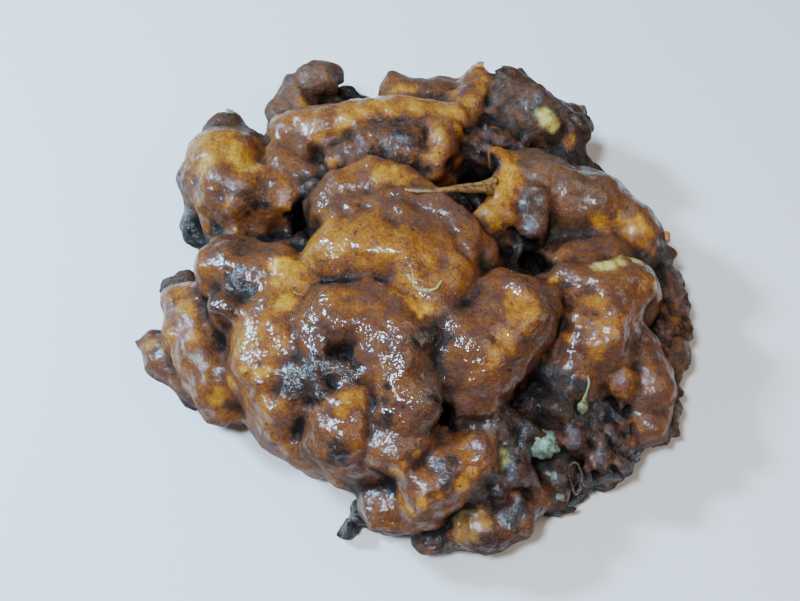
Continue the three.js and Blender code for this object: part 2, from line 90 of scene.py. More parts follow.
# Each lump is a chain of balls, (x, y, top, radius), that stands on the floor.
LUMPS = {
    "glossyRight": [(27, -14, 45, 11.5), (17, -27, 45, 12.5), (14.5, -34, 38, 10.5)],
    "glossyRightFlank": [(12, -21.5, 43, 8)],
    "glossyLeftTop": [(-4.5, -23, 46, 10.5), (-3, -31, 45, 10.5), (-1, -39.5, 42, 10)],
    "glossyLeftLow": [(-17.5, -41.5, 40, 7), (-18, -46, 38, 8.5), (-17, -47.5, 33, 8)],
    "glossyLeftRight": [(-1.5, -43.5, 40, 9.5), (-4, -48, 37, 9.5), (-10.5, -49.5, 31, 8)],
    "creviceDough": [(-21.5, -30, 39.5, 7), (-26, -34, 37, 6)],
    "creviceRidge": [(-23.5, -28, 41, 3.2), (-22.5, -36.5, 40, 3)],
    "creviceKnob": [(-17, -31.5, 41.5, 3.4), (-14.5, -34, 41, 3.2)],
    "creviceFlake": [(-28.5, -30.5, 40, 3), (-32, -38.5, 38, 3)],
    "flankKnob": [(2, -24.5, 44, 4)],
    "roundCap": [(-23.5, -20.5, 43, 9.5), (-18.5, -16.5, 45, 11), (-8.5, -16.5, 45, 10)],
    "leftBulge": [(-46, -1, 39, 11.5), (-34.5, -5, 41, 11.5)],
    "leftBody": [(-36, -16, 40, 12.5), (-36, -28, 39, 12), (-31.5, -36, 36, 11.5), (-25, -43.5, 30, 10)],
    "westDarkKnob": [(-64, 0, 22, 5.5)],
    "westRidge": [
        (-62, -6, 28, 6), (-57.5, -14, 30, 8), (-55, -23, 30, 8), (-52.5, -29, 28, 7.5),
        (-51.5, -32, 24, 5.5),
    ],
    "westTip": [(-72, -14, 17, 4.5), (-67.5, -20, 19, 5.5), (-61, -26, 19, 6)],
    "westInnerKnob": [(-48, -14, 39, 5)],
    "westLowKnob": [(-61, -28, 17, 5)],
    "westSideKnob": [(-66, -5, 15, 4.5)],
    "northWestDome": [(-52, 34, 38, 11.5)],
    "northWestCrown": [(-52, 40, 36, 8.5), (-53, 45.5, 32, 6.5)],
    "northWestSide": [(-57, 31, 32, 9.5)],
    "northWestFront": [(-49, 26, 38, 12.5), (-36, 27, 33, 10)],
    "northWestTail": [(-35, 34, 34, 6), (-28, 32, 33, 4)],
    "northWestFoot": [(-62, 26, 19, 7), (-59, 24, 16, 5.5)],
    "slotKnob": [(-27.5, 25, 34, 4.8)],
    "northKnob": [(-26, 67, 30, 4.5), (-34, 64, 28, 6), (-35, 56, 28, 7)],
    "northCragsLeft": [(-39, 60, 17, 4), (-40, 54, 18, 4.5), (-37, 49, 20, 5)],
    "northCragsRight": [(-21, 66, 18, 4), (-14, 66, 18, 4)],
    "northRoll": [(-34, 45, 34, 7), (-17, 46, 38, 8), (-2, 48, 38, 7), (11, 48, 36, 6)],
    "northLobe": [(-4, 60, 32, 6), (7, 60, 32, 6)],
    "northSaddle": [(13, 48, 35, 5), (19, 60, 34, 6.5)],
    "northBridge": [(18, 40, 34, 5.5), (29, 40, 33, 6)],
    "northEastRoll": [(29, 57, 36, 10), (38, 50, 36, 9.5), (45, 47, 32, 7)],
    "northEastKnob": [(47, 54, 28, 4.5)],
    "eastRoll": [(33, 27, 40, 9.5), (48, 22, 38, 10.5), (62, 15, 32, 9)],
    "eastCorner": [(69, 10, 24, 5.5)],
    "eastBand": [(26, 30, 40, 5), (26, 20, 40, 4.5)],
    "eastBackRim": [(45, 37, 27, 8), (58, 27, 22, 7)],
    "eastNose": [(32, 18, 40, 4.5), (33, 11, 37, 4.5)],
    "eastSmallKnob": [(23, 13, 40, 5)],
    "eastFlap": [(19.5, 2.5, 38.5, 5)],
    "eastLobe": [(42, -4, 36, 10), (54, -4.5, 37, 12.5), (47.5, -17, 37, 12), (40.5, -28, 32, 9)],
    "eastLobeTop": [(44, 4.5, 33, 5), (56, 5, 33, 5.5)],
    "eastRim": [
        (70, 4, 20, 6.5), (72, -7, 18, 6), (72, -17, 17, 6.5), (71, -28, 16, 6.5), (67, -38, 14, 6.5),
    ],
    "eastRimFoot": [(59, -50, 10, 5), (54, -54, 8, 4.5)],
    "southEastRidge": [(61, -20, 29, 6), (62.5, -30.5, 28, 7.5), (61, -37, 23, 7)],
    "southEastFloor": [(41, -34, 27, 9), (50.5, -40, 25, 9.5), (53.5, -46, 21, 8.5), (48, -51, 16, 7.5)],
    "southEastKnob": [(52.5, -30.5, 29, 4)],
    "southEastKnobLow": [(56.5, -44, 22, 4.5)],
    "southEastKnobMiddle": [(48, -49, 23, 4.5)],
    "southEastKnobLeft": [(42, -43, 26, 4.5)],
    "southEastKnobTop": [(38, -37.5, 29, 4.5)],
    "southEastShelf": [(36, -35, 29, 7), (31, -35, 27, 6)],
    "appleKnob": [(34.5, -43.5, 26, 5.3)],
    "southEastFinger": [(39, -50.5, 18, 4), (40, -60, 13, 4)],
    "southEastCrag": [(44, -63, 8, 3.5), (49, -57, 8, 4)],
    "southRoll": [(-6, -61.5, 24, 7), (4, -57, 32, 9.5), (15, -50, 32, 8)],
    "southRimRoll": [(4.5, -70.5, 14, 5), (15.5, -66.5, 20, 7.5), (26, -61.5, 21, 7.5), (33.5, -57, 17, 6)],
    "southMound": [(12.5, -42.5, 30, 6.5), (20.5, -43, 31, 7.5), (28.5, -44, 29, 6.5)],
    "southMoundFoot": [(15, -57, 28, 6.5), (25, -53.5, 28, 6.5)],
    "centreGold": [
        (-19, 3.5, 44, 8.5), (-10.5, 2, 46, 10.5), (-1, 1, 46, 10), (0.5, -10, 44.5, 6.5), (2, -16, 42.5, 4),
    ],
    "foldInner": [
        (-10, 10.5, 43, 4), (-4.5, 9.5, 44, 4.5), (3, 7, 44, 5), (7.5, 2, 43.5, 5), (9, -2, 43, 4.5),
    ],
    "tongue": [(13, -5, 43.5, 4), (9.5, -9, 44, 5), (6, -15, 43.5, 4.5), (2.5, -18.5, 42, 3)],
    "foldMiddle": [
        (-20, 13.5, 41, 4), (-11, 14.5, 43, 4), (-4.5, 15.5, 43.5, 4.5), (4, 14, 43.5, 5), (12, 11, 43, 5.5),
        (14.5, 4.5, 42, 5.5),
    ],
    "foldOuter": [
        (-23, 18, 40, 5.5), (-18, 21.5, 42, 6.5), (-10, 24, 43, 7), (-3.5, 22.5, 42.5, 6), (2, 19.5, 41, 4),
    ],
    "northMound": [(-18.5, 33.5, 37, 5), (-10.5, 36, 40, 8), (-1, 37, 40.5, 8)],
    "northFinger": [(8.5, 40, 40, 5), (8, 32.5, 39, 4.5)],
    "northFlap": [(-30, 40, 34, 5)],
    "burntCrumb": [(-11, -61, 8, 3.5), (-16, -68, 7, 3), (-20, -73, 5, 2.5)],
    "burntCrumbLimb": [(-14, -64, 7, 3), (-10, -70, 5, 2.5)],
}

# The dough that the creases and pits show, as low wide lumps.
BODY = {
    "middle": [(-40, 0, 30, 16), (-5, 0, 36, 24), (42, -6, 28, 20)],
    "front": [(-25, -34, 25, 16), (12, -42, 24, 20), (44, -34, 18, 18)],
    "back": [(-45, 32, 22, 16), (-5, 42, 30, 20), (36, 38, 26, 18)],
    "underside": [(-48, 14, 16, 12), (-10, 20, 18, 14), (30, 18, 18, 14), (55, 12, 16, 12)],
    "backFoot": [(-24, 56, 18, 9), (8, 58, 20, 10), (34, 52, 20, 10), (58, 22, 18, 10)],
}

# The pits between the lumps, painted near black as painted shade, as chains of balls, (x, y, bottom,
# radius), with a shaft up to the air.
PITS = {
    "northHole": [(16, 30, 14, 4), (20, 28.5, 14, 4)],
    "eastHole": [(33, 4, 16, 4)],
    "westSlot": [(-31, 20, 14, 1.6), (-30, 15, 14, 2.4)],
    "southGap": [(4, -40.5, 18, 1.6), (8, -41, 18, 1.6)],
    "southGapEast": [(28, -35.5, 18, 1.8)],
    "strandHollow": [(14, 17, 33, 3.5)],
}

# Where the dough was pulled it has fine ridges along the lump: their height and how far apart they are.
RIDGES = {
    "foldInner": (0.16, 1.9),
    "foldMiddle": (0.20, 2.1),
    "foldOuter": (0.12, 2.6),
    "southRoll": (0.22, 3.4),
    "eastRim": (0.22, 1.7),
    "northRoll": (0.10, 2.4),
    "northFinger": (0.15, 2.0),
}
RIDGE_BEND = 1.2  # how far the ridges waver, as an angle of their wave
RIDGE_BEND_LENGTH = 17  # over what length they waver

# How each lump's crust turned out: how brown it fried (0 golden, 1 black), how much glaze covers it (0 dry,
# 1 glassy), how craggy it is, and how dusty.
CRUSTS = {
    "glossyRight": (0.60, 1.0, 0.06, 0.0),
    "glossyRightFlank": (0.62, 1.0, 0.10, 0.0),
    "glossyLeftTop": (0.60, 1.0, 0.08, 0.0),
    "glossyLeftLow": (0.50, 1.0, 0.10, 0.0),
    "glossyLeftRight": (0.60, 0.9, 0.12, 0.1),
    "creviceDough": (0.68, 1.0, 0.3, 0.0),
    "creviceRidge": (0.76, 1.0, 0.4, 0.0),
    "creviceKnob": (0.76, 1.0, 0.4, 0.0),
    "creviceFlake": (0.75, 1.0, 0.2, 0.0),
    "flankKnob": (0.90, 1.0, 0.2, 0.0),
    "roundCap": (0.58, 1.0, 0.06, 0.0),
    "leftBulge": (0.54, 0.8, 0.12, 0.05),
    "leftBody": (0.47, 0.8, 0.10, 0.05),
    "westDarkKnob": (0.72, 0.3, 0.6, 0.3),
    "westRidge": (0.42, 0.7, 0.30, 0.05),
    "westTip": (0.62, 0.6, 0.25, 0.2),
    "westInnerKnob": (0.72, 0.6, 0.15, 0.1),
    "westLowKnob": (0.82, 0.4, 0.4, 0.3),
    "westSideKnob": (0.72, 0.6, 0.5, 0.1),
    "northWestDome": (0.34, 0.6, 0.25, 0.1),
    "northWestCrown": (0.62, 0.3, 0.25, 0.3),
    "northWestSide": (0.50, 0.6, 0.25, 0.15),
    "northWestFront": (0.46, 0.7, 0.30, 0.1),
    "northWestTail": (0.56, 0.5, 0.15, 0.2),
    "northWestFoot": (0.95, 1.0, 0.6, 0.0),
    "slotKnob": (0.80, 0.6, 0.6, 0.1),
    "northKnob": (0.66, 0.4, 0.5, 0.5),
    "northCragsLeft": (1.0, 0.7, 1.0, 0.0),
    "northCragsRight": (1.0, 0.6, 1.0, 0.0),
    "northRoll": (0.38, 0.7, 0.15, 0.1),
    "northLobe": (0.56, 0.3, 0.2, 0.3),
    "northSaddle": (0.48, 0.5, 0.2, 0.2),
    "northBridge": (0.80, 0.7, 0.9, 0.1),
    "northEastRoll": (0.77, 0.25, 0.6, 0.2),
    "northEastKnob": (0.78, 0.4, 0.6, 0.2),
    "eastRoll": (0.62, 0.5, 0.15, 0.3),
    "eastCorner": (0.62, 0.3, 0.3, 0.2),
    "eastBand": (0.34, 0.3, 0.3, 0.0),
    "eastBackRim": (0.92, 0.2, 1.0, 0.2),
    "eastNose": (0.72, 0.6, 0.4, 0.1),
    "eastSmallKnob": (0.42, 0.5, 0.25, 0.2),
    "eastFlap": (0.62, 0.3, 0.15, 0.1),
    "eastLobe": (0.55, 0.8, 0.12, 0.05),
    "eastLobeTop": (0.56, 0.4, 0.15, 0.1),
    "eastRim": (0.72, 0.5, 1.0, 0.1),
    "eastRimFoot": (0.82, 0.7, 1.0, 0.0),
    "southEastRidge": (0.56, 0.5, 0.2, 0.2),
    "southEastFloor": (0.80, 1.0, 1.0, 0.0),
    "southEastKnob": (0.50, 0.5, 0.4, 0.0),
    "southEastKnobLow": (0.70, 0.5, 0.7, 0.0),
    "southEastKnobMiddle": (0.78, 0.7, 0.8, 0.0),
    "southEastKnobLeft": (0.84, 0.8, 0.8, 0.0),
    "southEastKnobTop": (0.80, 0.8, 0.6, 0.0),
    "southEastShelf": (0.84, 1.0, 0.9, 0.0),
    "appleKnob": (0.74, 0.4, 0.3, 0.0),
    "southEastFinger": (0.76, 0.7, 0.3, 0.1),
    "southEastCrag": (1.0, 1.0, 0.8, 0.0),
    "southRoll": (0.58, 0.9, 0.2, 0.0),
    "southRimRoll": (0.66, 0.8, 0.3, 0.0),
    "southMound": (0.84, 0.8, 0.7, 0.0),
    "southMoundFoot": (0.80, 0.8, 0.7, 0.0),
    "centreGold": (0.36, 0.7, 0.05, 0.0),
    "foldInner": (0.52, 0.5, 0.08, 0.1),
    "tongue": (0.40, 0.5, 0.08, 0.1),
    "foldMiddle": (0.54, 0.4, 0.08, 0.15),
    "foldOuter": (0.52, 0.4, 0.10, 0.15),
    "northMound": (0.66, 0.6, 0.55, 0.15),
    "northFinger": (0.50, 0.3, 0.12, 0.1),
    "northFlap": (0.56, 0.3, 0.12, 0.3),
    "burntCrumb": (0.94, 1.0, 1.0, 0.0),
    "burntCrumbLimb": (0.94, 1.0, 1.0, 0.0),
}
DEEP_CRUST_AND_SHADE = (0.90, 0.3, 0.6, 0.0)  # of the body, down in the creases: painted dark, partly darker glaze and partly painted shade
# The pits' crust: painted near black, as painted shade down the pits.
PIT_SHADE_CRUST = (1.0, 0.5, 0.8, 0.0)
CHANNELS = ("brown", "glaze", "crag", "dusty")
CRUST_MIX = 1.0  # over how far two crusts mix where their lumps meet

# Patches of another tone on the crust, each of them balls of (x, y, z, radius).
PATCHES = {
    "gold": [
        (-44, 32, 35, 3.5), (-42, 37, 30, 2.5), (-47, 35, 37, 2.5), (-56, 29, 37, 2), (-50, 19, 35, 1.5),
    ],
    "goldNorth": [
        (-7, 48, 38, 2.5), (-3, 47, 38, 2), (1, 47, 38, 2.5), (6, 47, 36, 2), (-13, 45, 38, 2),
        (-18, 43, 38, 2),
    ],
    "goldLobe": [(-7, 54, 34, 2.5), (-3, 57, 32, 2), (1, 58, 32, 1.5), (11, 54, 32, 2.5)],
    "goldSaddle": [
        (12, 46, 35, 2.5), (13, 41, 37, 2), (21, 58, 34, 2.5), (22, 55, 33, 2.5), (17, 52, 34, 2),
    ],
    "chip": [(-31, 56, 27, 2), (-22, 31, 36, 2)],
    "goldFold": [(-9, 21, 43, 2), (-5, 23, 42, 2.5), (-1, 22, 42, 2), (-7, 24, 43, 2)],
    "finger": [(7, 37, 39, 2), (7, 32, 39, 2), (6, 30, 38, 1.5)],
    "band": [(26, 26, 40, 2), (26, 22, 40, 2), (26, 18, 39, 2)],
    "smallKnob": [(22, 12, 39, 2.5), (23, 10, 37, 2), (20, 15, 39, 1.5)],
    "eastGold": [
        (52, 13, 32, 2.5), (56, 14, 32, 2.5), (60, 12, 32, 2.5), (63, 9, 30, 2.5), (52, 11, 28, 2),
        (67, 8, 26, 1.5),
    ],
    "appleStrip": [(49, -1, 35, 1.5), (52, -1, 36, 1.5), (55, 0, 36, 1.5), (59, 1, 34, 1.5)],
    "appleNE": [(37, 47, 35, 1.5), (38, 45, 34, 1.5), (40, 44, 33, 1.5)],
    "orangeNE": [(45, 42, 29, 1.5)],
    "eastLobeGold": [
        (37, -5, 34, 1.5), (36, -24, 31, 2), (37, -22, 32, 1.5), (39, -21, 34, 1.5), (33, -26, 33, 1.5),
    ],
    "eastLobeOrange": [(50, -19, 36, 3.5), (48, -24, 35, 3), (48, -12, 37, 3), (42, -17, 36, 2)],
    "rimGreen": [(64, -6, 32, 1.5)],
    "oval": [(3, -4, 44, 2), (4, -6, 43, 2), (5, -9, 43, 1.5), (2, -1, 45, 1.5)],
    "tip": [(2, -17, 43, 2), (2, -20, 44, 1), (0, -14, 42, 2)],
    "domeOrange": [(-13, -5, 42, 3.5), (-7, -5, 44, 3.5), (-20, -2, 42, 2.5), (-3, -11, 43, 2.5)],
    "bulgeGold": [
        (-31, -7, 40, 3.5), (-28, -4, 39, 2.5), (-35, -5, 41, 2), (-29, -10, 38, 2), (-32, -13, 39, 2),
        (-26, -7, 37, 1.5),
    ],
    "bodyBand": [(-42, -32, 37, 1), (-39, -33, 38, 1.5), (-36, -32, 38, 1.5)],
    "bodyGold": [
        (-32, -41, 36, 2), (-36, -38, 35, 1.5), (-38, -22, 40, 3), (-34, -26, 39, 2.5), (-42, -25, 38, 2.5),
    ],
    "lowTop": [(-15, -41, 40, 2), (-13, -39, 38, 2), (-17, -43, 39, 1.5)],
    "rightGold": [
        (27, -16, 44, 3), (29, -19, 44, 2.5), (25, -21, 45, 2), (23, -26, 44, 2.5), (21, -30, 44, 2.5),
        (28, -23, 44, 2),
    ],
    "southGold": [
        (-4, -56, 32, 1.5), (-2, -55, 34, 1.5), (1, -53, 34, 1), (-1, -64, 26, 2), (2, -64, 30, 1.5),
        (7, -63, 30, 2), (-3, -61, 25, 1.5), (12, -59, 29, 1.5), (15, -56, 30, 1.5),
    ],
    "glazedPatch": [
        (13, -67, 19, 2.5), (16, -66, 20, 2.5), (18, -67, 21, 1.5), (15, -69, 20, 1.5), (12, -69, 18, 1.5),
    ],
    "rimGold": [(24, -59, 20, 2), (27, -58, 19, 2), (30, -56, 18, 1.5)],
    "westGold": [
        (-60, -10, 30, 2), (-58, -13, 30, 1.5), (-51, -15, 34, 1.5), (-53, -16, 29, 1.5),
        (-57, -19, 30, 1.5), (-49, -33, 26, 2), (-47, -31, 28, 2), (-50, -35, 25, 1.5),
    ],
    "tipGold": [(-65, -17, 21, 2), (-70, -16, 18, 1.5), (-62, -24, 25, 2)],
    "orangeCap": [(-18, -16, 45, 3), (-20, -16, 45, 2.5), (-15, -17, 45, 2)],
    "redBody": [(-27, -48, 32, 4), (-31, -45, 31, 2.5), (-25, -52, 32, 2.5), (-21, -54, 32, 2)],
    "purpleCap": [
        (-25, -23, 42, 3), (-20, -25, 43, 3), (-15, -25, 43, 2.5), (-20, -21, 45, 2), (-24, -15, 43, 1.5),
        (-10, -16, 45, 1.5), (-10, -21, 45, 1.5), (-6, -21, 46, 2), (-3, -23, 46, 1.5), (-15, -10, 42, 2),
        (-20, -10, 43, 1.5),
    ],
    "purpleFlank": [
        (10, -26, 43, 2.5), (12, -30, 44, 2.5), (11, -32, 42, 2), (14, -27, 45, 2), (14, -33, 43, 2),
        (16, -30, 45, 2), (9, -34, 40, 1.5), (12, -35, 40, 1.5),
    ],
    "purpleBulge": [
        (-49, -2, 39, 2.5), (-46, 2, 39, 2.5), (-42, 3, 38, 2), (-50, -7, 35, 2), (-39, 1, 39, 2),
    ],
    "purpleWest": [
        (-63, 26, 28, 2), (-59, 26, 33, 1.5), (-53, 20, 35, 2), (-48, 22, 37, 2), (-41, 24, 34, 2),
        (-44, 21, 35, 2), (-37, 25, 34, 2),
    ],
    "burntFoot": [
        (-63, 23, 17, 2.5), (-58, 18, 21, 2), (-58, 17, 17, 1.5), (-54, 15, 24, 2), (-65, 25, 16, 1.5),
    ],
    # a dark dash along a groove: partly burnt sugar, partly painted groove shadow
    "burntAndShadedDash": [(-44, 17, 31, 1), (-42, 19, 32, 1.5), (-40, 20, 32, 1.5)],
    "burntBulge": [
        (-47, -6, 39, 1.5), (-45, -5, 39, 1.5), (-44, -8, 38, 1.5), (-46, -8, 38, 1.5), (-42, -10, 38, 1.5),
    ],
    "burntLow": [(-18, -53, 34, 2.5), (-19, -51, 35, 1.5), (-17, -54, 33, 1.5)],
    "burntGroove": [(-6, -46, 37, 1.5), (-6, -44, 39, 1), (-7, -41, 40, 1), (-6, -38, 42, 1)],
    "burntCrevice": [
        (-23, -30, 41, 1.5), (-19, -31, 41, 1.5), (-16, -33, 41, 2), (-23, -36, 40, 2), (-26, -33, 40, 1.5),
        (-23, -39, 40, 1.5), (-29, -34, 39, 1.5), (-30, -37, 38, 1.5), (-17, -30, 40, 1.5),
        (-20, -37, 39, 1.5), (-26, -37, 38, 1.5), (-15, -32, 40, 1.5),
    ],
    "burntFlank": [(1, -27, 44, 1.5), (3, -28, 43, 1), (5, -30, 41, 1), (3, -24, 44, 1)],
    "burntFlake": [(5, -47, 35, 1.5), (6, -45, 35, 1)],
    "burntSouth": [
        (4, -67, 14, 2.5), (6, -69, 14, 2), (1, -68, 11, 1.5), (26, -65, 21, 2), (28, -63, 21, 1.5),
    ],
    "burntSouthRoll": [
        (7, -55, 32, 1.5), (10, -54, 32, 1.5), (9, -57, 32, 1.5), (8, -60, 31, 1), (-5, -59, 24, 1),
    ],
    "burntMound": [
        (-1, 35, 40, 2), (1, 34, 39, 1.5), (-3, 37, 40, 1.5), (2, 33, 38, 1.5), (5, 28, 36, 1.5),
    ],
    "burntNE": [
        (34, 50, 35, 2), (35, 47, 35, 2), (42, 49, 34, 2), (45, 50, 32, 2.5), (46, 47, 32, 1.5),
        (33, 46, 34, 1.5),
    ],
    "grooveNE": [(22, 53, 32, 1.5), (23, 50, 30, 1.5), (25, 48, 27, 1.5), (26, 43, 27, 1.5)],
    "burntCorner": [(70, 9, 24, 2), (71, 7, 22, 1.5), (69, 11, 26, 1.5)],
    "burntShelf": [
        (32, -29, 32, 2), (36, -31, 31, 2), (39, -32, 31, 2), (43, -34, 30, 2), (35, -32, 29, 2),
        (38, -34, 29, 2),
    ],
    "greyEdge": [(5, -34, 40, 2), (6, -38, 39, 2), (5, -39, 34, 1.5), (4, -31, 42, 1.5)],
    "greyNE": [(27, 56, 36, 3.5), (31, 53, 36, 3), (29, 49, 33, 3), (34, 55, 36, 2.5)],
    "greyEast": [
        (36, 27, 40, 3), (41, 25, 39, 3), (48, 23, 38, 3), (54, 19, 37, 2.5), (40, 22, 38, 2.5),
        (45, 20, 38, 2.5),
    ],
    "greyKnob": [(-32, 62, 28, 3), (-27, 64, 29, 2.5), (-25, 62, 26, 2.5), (-31, 66, 29, 2.5)],
    "olive": [(-26, 67, 30, 2), (-23, 66, 28, 2)],
    "greenMound": [(15, -47, 31, 1)],
    "paleMound": [(23, -50, 27, 1.5), (23, -52, 26, 1.5), (22, -54, 26, 1)],
}

# What each group of patches turns the crust into.
PATCH_LOOKS = {
    "gold": {"brown": 0.14},
    "goldNorth": {"brown": 0.26},
    "goldLobe": {"brown": 0.22},
    "goldSaddle": {"brown": 0.22},
    "chip": {"brown": 0.20},
    "goldFold": {"brown": 0.20},
    "finger": {"brown": 0.30},
    "band": {"brown": 0.20, "dusty": 0.0},
    "smallKnob": {"brown": 0.34},
    "eastGold": {"brown": 0.24, "dusty": 0.0},
    "appleStrip": {"apple": 0.8, "brown": 0.1},
    "appleNE": {"apple": 0.9, "brown": 0.1, "dusty": 0.0},
    "orangeNE": {"brown": 0.3},
    "eastLobeGold": {"brown": 0.16},
    "eastLobeOrange": {"brown": 0.38},
    "rimGreen": {"apple": 0.5, "brown": 0.2},
    "oval": {"brown": 0.20},
    "tip": {"brown": 0.08},
    "domeOrange": {"brown": 0.30},
    "bulgeGold": {"brown": 0.12, "dusty": 0.0},
    "bodyBand": {"brown": 0.14},
    "bodyGold": {"brown": 0.32},
    "lowTop": {"brown": 0.22},
    "rightGold": {"brown": 0.28},
    "southGold": {"brown": 0.24},
    "glazedPatch": {"brown": 0.34, "apple": 0.12, "glaze": 1.0},
    "rimGold": {"brown": 0.26},
    "westGold": {"brown": 0.22},
    "tipGold": {"brown": 0.36},
    "orangeCap": {"brown": 0.42, "glaze": 1.0},
    "redBody": {"brown": 0.58, "glaze": 0.5},
    "purpleCap": {"brown": 0.60, "glaze": 1.0},
    "purpleFlank": {"brown": 0.68, "glaze": 1.0},
    "purpleBulge": {"brown": 0.62, "glaze": 0.8},
    "purpleWest": {"brown": 0.60, "glaze": 0.9},
    "burntFoot": {"brown": 1.0, "glaze": 1.0, "crag": 0.8},
    # a dark dash along a groove: partly burnt sugar, partly painted groove shadow
    "burntAndShadedDash": {"brown": 0.97, "glaze": 1.0},
    "burntBulge": {"brown": 0.90, "glaze": 1.0, "crag": 0.4},
    "burntLow": {"brown": 0.84, "glaze": 0.8},
    "burntGroove": {"brown": 0.92, "glaze": 1.0},
    "burntCrevice": {"brown": 0.86, "glaze": 1.0, "crag": 0.6},
    "burntFlank": {"brown": 0.90, "glaze": 1.0},
    "burntFlake": {"brown": 0.92, "glaze": 1.0},
    "burntSouth": {"brown": 0.95, "glaze": 0.9, "crag": 0.6},
    "burntSouthRoll": {"brown": 0.84, "glaze": 1.0, "crag": 0.4},
    "burntMound": {"brown": 0.90, "glaze": 0.8, "crag": 0.5},
    "burntNE": {"brown": 0.88, "glaze": 0.9, "crag": 0.5},
    "grooveNE": {"brown": 0.88, "glaze": 0.6},
    "burntCorner": {"brown": 0.97, "glaze": 0.8, "crag": 0.5},
    "burntShelf": {"brown": 0.86, "glaze": 1.0, "crag": 0.9},
    "greyEdge": {"brown": 0.64, "dusty": 0.6},
    "greyNE": {"brown": 0.66, "dusty": 0.5},
    "greyEast": {"brown": 0.58, "dusty": 0.5},
    "greyKnob": {"brown": 0.66, "dusty": 0.7},
    "olive": {"brown": 0.50, "dusty": 0.8},
    "greenMound": {"apple": 0.3},
    "paleMound": {"apple": 0.6, "glaze": 1.0},
}
PATCH_EDGE = 0.55  # how wide a patch's soft edge is, in its own radii
PATCH_GROW = 1.15  # patches reach a little further than their balls
PATCH_RAGGED = ((0.6, 3.4, 11), (0.45, 1.6, 12))  # how uneven their edges are, in layers like the relief's

# How far round each place the dough is averaged, to find what lies in a crease and what lies in a hollow.
DEPTHS = {"crease": 1.5, "hollow": 4.5}


def ripple(x, y, z, wavelength):
    """A smooth uneven wave between -1 and 1."""
    k = 2 * math.pi / wavelength
    total = 0
    for (stretch, bent_by, start), along, across in zip(WAVES, (x, y, z), (y, z, x)):
        total = total + np.sin(stretch * k * along + WAVE_BEND * np.sin(bent_by * k * across + start))
    return total / len(WAVES)


def grain(x, y, z, wavelength, seed):
    """Seeded noise between -1 and 1, with about one bump in each wavelength."""
    lattice = np.random.default_rng(seed).random((NOISE_SIZE,) * 3, dtype=np.float32)
    steps = []
    for place in (x + 0.37 * y, y - 0.29 * z, z + 0.41 * x):  # askew, so that no bumps line up with the axes
        turns = place / wavelength
        low = np.floor(turns)
        steps.append((low.astype(int), smooth(turns - low)))
    (i, u), (j, v), (k, w) = steps
    total = 0
    for a, b, c in itertools.product((0, 1), repeat=3):
        share = (u if a else 1 - u) * (v if b else 1 - v) * (w if c else 1 - w)
        total = total + share * lattice[(i + a) % NOISE_SIZE, (j + b) % NOISE_SIZE, (k + c) % NOISE_SIZE]
    return total * 2 - 1


def grains(x, y, z, layers):
    """Layers of seeded noise on top of each other."""
    return sum(height * grain(x, y, z, wavelength, seed) for height, wavelength, seed in layers)


def smooth(share):
    """A share from 0 to 1 that starts and ends gently."""
    share = np.clip(share, 0, 1)
    return share * share * (3 - 2 * share)


def warped(x, y, z):
    """The places of the round lumps that these places of the uneven, undercut dough come from."""
    drawn_in = 1 + UNDERCUT * np.maximum(1 - z / CURL, 0) ** 2
    wx, wy = x * drawn_in, y * drawn_in
    for push, wavelength in WARP:
        wx += push * ripple(y, z, x, wavelength)
        wy += push * ripple(z, x, y, wavelength)
    return wx, wy, z


def standing(top, radius):
    """The lowest and highest middle of a lump's ball: it stands on the floor."""
    return np.minimum(top - radius, radius * FOOT), top - radius


def opened(bottom, radius):
    """The lowest and highest middle of a pit's ball: it is open to the air."""
    return bottom + radius, np.full_like(radius, SKY)


def segment_distance(segment, shaft, x, y, z):
    """How far places are from a segment of a chain, and how far to the side of its middle line."""
    (ax, ay, az, ar), (bx, by, bz, br) = segment
    dx, dy = bx - ax, by - ay
    along = np.clip(((x - ax) * dx + (y - ay) * dy) / ((dx * dx + dy * dy) or 1), 0, 1)
    radius = ar + (br - ar) * along
    low, high = shaft(az + (bz - az) * along, radius)
    off = z - np.clip(z, low, high)
    aside = np.sqrt((x - ax - dx * along) ** 2 + (y - ay - dy * along) ** 2)
    return np.sqrt(aside * aside + off * off) - radius, aside


def chain_distance(balls, shaft, x, y, z):
    """The same for a whole chain, which may be a single ball."""
    segments = list(zip(balls, balls[1:])) or [(balls[0], balls[0])]
    found = [segment_distance(segment, shaft, x, y, z) for segment in segments]
    return np.minimum.reduce([f[0] for f in found]), np.minimum.reduce([f[1] for f in found])


def melt(a, b):
    """The smaller of two distances, rounded off where they are within BLEND of each other."""
    overlap = np.maximum(BLEND - np.abs(a - b), 0)
    return np.minimum(a, b) - overlap * overlap / (4 * BLEND)


def filled(field):
    """The dough with its narrow creases filled: no ball of radius FILL fits into them from outside."""
    reach = math.ceil(FILL / STEP)
    padded = np.pad(field, reach, mode="edge")
    highest = field.copy()
    for shift in itertools.product(range(-reach, reach + 1), repeat=3):
        length = math.sqrt(sum(steps * steps for steps in shift)) * STEP
        if FILL - STEP < length <= FILL:  # the ball's outermost shell is enough
            shifted = tuple(slice(reach + steps, reach + steps + n) for steps, n in zip(shift, field.shape))
            np.maximum(highest, padded[shifted] + FILL - length, out=highest)
    return highest - FILL


def block_of(balls, shape, is_pit):
    """The part of the grid that a chain of balls can change."""
    lows = [min(b[axis] - b[3] for b in balls) - NEAR for axis in (0, 1)]
    highs = [max(b[axis] + b[3] for b in balls) + NEAR for axis in (0, 1)]
    lows.append(min(b[2] for b in balls) - NEAR if is_pit else REACH[2][0])
    highs.append(REACH[2][1] if is_pit else max(b[2] for b in balls) + NEAR)
    block = []
    for low, high, (start, _), count in zip(lows, highs, REACH, shape):
        first = max(int((low - start) / STEP), 0)
        last = min(int((high - start) / STEP) + 1, count)
        block.append(slice(first, last))
    return tuple(block)


